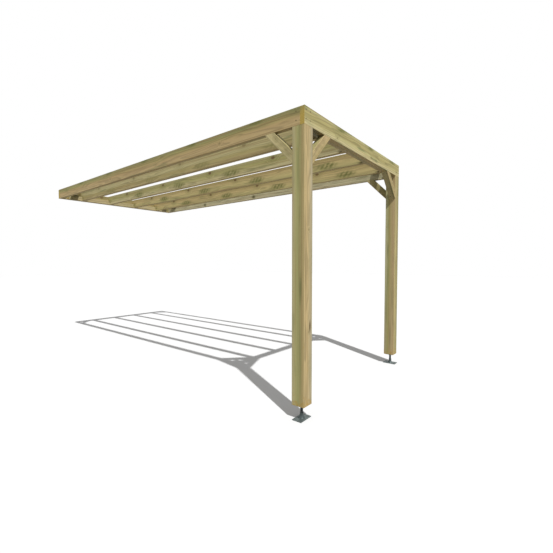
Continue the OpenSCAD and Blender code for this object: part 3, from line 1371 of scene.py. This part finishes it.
@dataclass
class Studio:
    """Pale floor, one sun-like lamp high at the front left, an even sky and the camera."""

    floor_size: float = 60.0
    sky: float = 0.42
    lamp: float = 3.75
    lamp_width: float = 0.8
    lamp_direction: tuple[float, float, float] = (0.325, 0.6335, -1.0)
    floor_colour: str = "#e0e0e0"
    floor_bounce: str = "#8c8c8c"
    camera_place: tuple[float, float, float] = (-3.3177, -6.5101, -1.1590)
    camera_turn: float = 51.437
    camera_tilt: float = -2.306
    camera_lens: float = 22.146
    sensor: float = 36.0

    def build(self) -> None:
        """Sets the stage."""
        bpy.context.scene.view_settings.view_transform = "Standard"
        self._floor()
        self._sky()
        self._lamp()
        self._camera()

    def _seen(self, tree: NodeTree) -> Node:
        """One for what the camera sees, directly, in a gloss or through glass.

        Args:
            tree: The material's or the world's node tree.

        Returns:
            The node, whose output is 1 or 0.
        """
        path = add(tree, "LightPath").outputs
        seen = add(tree, "Math", {0: path["Is Camera Ray"], 1: path["Is Glossy Ray"]}, operation="MAXIMUM")
        return add(tree, "Math", {0: seen, 1: path["Is Transmission Ray"]}, operation="MAXIMUM")

    def _floor(self) -> None:
        """A wide floor at the height of the feet, which throws little light back up."""
        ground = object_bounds()[0].z
        half = self.floor_size / 2
        corners = np.array([[-half, -half, ground], [half, -half, ground],
                            [half, half, ground], [-half, half, ground]])
        floor = Surface(corners, [[0, 1, 2, 3]]).to_object("studio_floor")
        material, tree = new_material("pale_matt_floor")
        seen = self._seen(tree)
        bounce = add(tree, "BsdfDiffuse", {"Color": linear(self.floor_bounce)})
        pale = add(tree, "BsdfDiffuse", {"Color": linear(self.floor_colour)})
        mix = add(tree, "MixShader", {0: seen, 1: bounce, 2: pale})
        add(tree, "OutputMaterial", {0: mix})
        floor.data.materials.append(material)
        floor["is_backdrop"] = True

    def _sky(self) -> None:
        """An even sky that is white to the camera and lights the object at its own level."""
        world = bpy.data.worlds.new("even_sky")
        bpy.context.scene.world = world
        world.use_nodes = True
        tree = world.node_tree
        tree.nodes.clear()
        strength = add(tree, "MapRange", {0: self._seen(tree), 3: self.sky, 4: 1.0})
        back = add(tree, "Background", {"Color": linear("#ffffff"), "Strength": strength})
        add(tree, "OutputWorld", {0: back})

    def _lamp(self) -> None:
        """The lamp, whose small width keeps the shadows' edges clean."""
        data = bpy.data.lights.new("high_lamp", "SUN")
        data.energy = self.lamp
        data.angle = math.radians(self.lamp_width)
        lamp = bpy.data.objects.new("high_lamp", data)
        lamp.rotation_euler = Vector(self.lamp_direction).to_track_quat("-Z", "Y").to_euler()
        bpy.context.scene.collection.objects.link(lamp)

    def _camera(self) -> None:
        """The camera, at a person's height in front of the left post."""
        data = bpy.data.cameras.new("camera")
        data.lens = self.camera_lens
        data.sensor_width = self.sensor
        data.clip_end = self.floor_size
        camera = bpy.data.objects.new("camera", data)
        camera.location = self.camera_place
        camera.rotation_euler = (math.radians(90 + self.camera_tilt), 0.0, -math.radians(self.camera_turn))
        bpy.context.scene.collection.objects.link(camera)
        bpy.context.scene.camera = camera


# ---------------------------------------------------------------- the whole object


# Tints that the timbers share on the faces that lie on top, out of the light and underneath.
TOP_TINTS = ("#a8a06a",)
HIDDEN_TINTS = ("#aea26e", "#b3a372")
UNDER_TINTS = ("#b29a62", "#ac9560")


def make_roof(screws: Screws) -> Roof:
    """Gives every timber of the roof its finish.

    Args:
        screws: The screws at the front corners.

    Returns:
        The roof, ready to build.
    """
    faces = {"upper": TOP_TINTS, "inner": HIDDEN_TINTS, "under": UNDER_TINTS}
    # Painted shade: a near-black olive patch on the under faces near the left ends of the front beam and the
    # bearing strips, where the left post and its braces shade the corner.
    corner_painted_shade = {"around": 3.5, "length": 190, "width": 1.2, "colour": "#3c412a", "strength": 0.75}
    # Painted shade: a dark mark low on the outer face of each inner rafter near its front end, where it sits
    # on the front bearing strip.
    rafter_joint_shade = Streak(4835, 0.1, 60, 0.14, "#5f5433", 0.75)
    beam = TreatedPine(
        "green_pine_beam", outer=("#c6b989", "#beb77f", "#a09460", "#afa56c", "#b7b17c"), **faces,
        patches=0.75, knots=Knots(pitch=760, first=1290, height=-30, radius=10, strength=0.5),
        flames=Flames(pitch=650, first=590, height=60, length=170, reach=34, lick=210),
        streaks=(Streak(along=180, **corner_painted_shade),))
    ledger = TreatedPine("tan_pine_ledger", outer=("#a39468", "#a19264", "#93865a"), **faces)
    strip = TreatedPine(
        "brown_pine_strip", outer=("#b4a67c", "#b8aa80"), upper=TOP_TINTS, inner=HIDDEN_TINTS,
        under=("#a89260", "#a28d5c"), knots=Knots(height=10, radius=9, strength=0.4),
        flames=Flames(strength=0.3), streaks=(Streak(along=60, **corner_painted_shade),))
    side_rafter = TreatedPine(
        "pink_pine_rafter", outer=("#bfa978", "#bea575", "#b9a16f", "#a49d62", "#959160"), **faces,
        patches=0.4, knots=Knots(height=-20, radius=9, strength=0.35),
        flames=Flames(pitch=900, first=840, height=62, length=150, reach=28, lick=190))
    plain_rafter = TreatedPine(
        "plain_pine_rafter", outer=("#c9c19c", "#c8c099", "#bfb78e"), upper=TOP_TINTS,
        inner=("#aea26e", "#b9a876"), under=UNDER_TINTS, patches=0.4,
        knots=Knots(height=10, radius=10, strength=0.3), flames=Flames(strength=0.2),
        streaks=(Streak(1223, 0.24, 62, 0.36, "#5b5733", 0.95),
                 Streak(2500, 0.26, 62, 0.36, "#5b5733", 0.95)))
    grey_rafter = TreatedPine(
        "grey_pine_rafter", outer=("#b7a877", "#b2a56e", "#c6bb89", "#c0b381"), **faces,
        knots=Knots(height=58, strength=0.45), flames=Flames(height=-30, strength=0.45),
        streaks=(rafter_joint_shade,))
    green_rafter = TreatedPine(
        "green_pine_rafter", outer=("#c9bd8e", "#bdb47f", "#ada66a", "#b2ab78"), **faces,
        streaks=(rafter_joint_shade,))
    tan_rafter = TreatedPine(
        "tan_pine_rafter", outer=("#bbaf77", "#cab97f", "#c6b17a", "#ae9b65"), **faces,
        patches=0.35, streaks=(rafter_joint_shade,))
    return Roof(beam=beam.material(), ledger=ledger.material(), strip=strip.material(),
                side_rafter=side_rafter.material(), grey_rafter=grey_rafter.material(),
                green_rafter=green_rafter.material(), plain_rafter=plain_rafter.material(),
                tan_rafter=tan_rafter.material(), screws=screws)


def make_stand(screws: Screws) -> Stand:
    """Gives the posts and the braces their finishes.

    Args:
        screws: The screws in the knee braces.

    Returns:
        The stand, ready to build.
    """
    post_marks = {"patches": 0.3, "knots": Knots(pitch=830, first=610, height=12, radius=7, strength=0.45),
                  "flames": Flames(pitch=900, first=300, height=30, strength=0.15), "foot_stain": 110,
                  "upper": ("#a9a270", "#a69e6c"), "inner": ("#a59a6b", "#a9a26f")}
    striped_post = TreatedPine(
        "striped_pine_post", outer=("#bca778", "#bfa978", "#c2ad7e", "#baaa81", "#b1a687"),
        under=("#bdb385", "#bcb57b", "#adaa70", "#a89d68", "#bba874"), **post_marks,
        streaks=(Streak(656, 0.74, 75, 0.15, "#5c4b2c", 1.0),
                 Streak(960, 3.72, 190, 0.16, "#6f7444", 0.75),
                 Streak(420, 3.70, 420, 0.12, "#7f8250", 0.45),
                 Streak(1960, 3.45, 330, 0.14, "#7f8250", 0.5)))
    olive_post = TreatedPine(
        "olive_pine_post", outer=("#b5a571", "#ada06d", "#a59967", "#948d5c"),
        under=("#bbb78a", "#a8a165", "#b8a675", "#c4ad80"), **post_marks,
        streaks=(Streak(240, 3.64, 230, 0.08, "#6d6548", 0.7),
                 Streak(1336, 3.27, 150, 0.1, "#666b40", 0.7),
                 Streak(1000, 3.3, 300, 0.12, "#757a4a", 0.5)))
    brace_marks = {"knots": Knots(pitch=900, first=120, height=10, radius=8, strength=0.4),
                   "flames": Flames(pitch=900, first=260, height=0, strength=0.3)}
    knee_faces = {"upper": TOP_TINTS, "inner": HIDDEN_TINTS, "under": ("#b3a574", "#ab9d6c")}
    brace = TreatedPine("pale_pine_brace", outer=("#cec08d", "#cbbc89", "#b2a577"), **knee_faces,
                        **brace_marks)
    front_brace = TreatedPine("tan_pine_brace", outer=("#b9a574", "#bda679"), **knee_faces, **brace_marks)
    # Painted shade on the level braces: their under face is a dark olive, their upright edges a lighter
    # olive, and their top keeps the pale top tint.
    level_brace = TreatedPine("painted_shade_pine_brace", outer=("#6f6e4a", "#77744e"), upper=("#8d855a",),
                              inner=TOP_TINTS, under=("#8d855a",), **brace_marks)
    return Stand(posts=(striped_post.material(), olive_post.material()), brace=brace.material(),
                 front_brace=front_brace.material(), level_brace=level_brace.material(), screws=screws)


def make_feet() -> list[Foot]:
    """Gives the feet their steels.

    Returns:
        The foot of each side, ready to build.
    """
    # The zinc of the rolled plates is a matt grey. The cast collar is darker and a little
    # glossier, and the oil in the thread takes the shine off the stem and the nut.
    plate = DulledSteel("galvanised_steel").material()
    collar = DulledSteel("cast_steel", colour="#535c5b", stain_colour="#3c4444", roughness=0.45,
                         metallic=0.75).material()
    stem = DulledSteel("oiled_steel", colour="#565c5e", stain_colour="#3f4547").material()
    return [Foot(side, plate_steel=plate, collar_steel=collar, stem_steel=stem) for side in SIDES]


def main() -> None:
    """Builds the stage and every sub-assembly."""
    logging.basicConfig(level=logging.INFO, format="%(name)s: %(message)s")
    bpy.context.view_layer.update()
    Studio().build()

    # Yellow passivated screws turn a dull brown outdoors and hardly stand out from the wood.
    browned_steel = DulledSteel("browned_steel", colour="#6a6040", stain_colour="#4a4430")
    screws = Screws(browned_steel.material())
    for part in (make_roof(screws), make_stand(screws), *make_feet()):
        part.build()


if __name__ == "__main__":
    main()
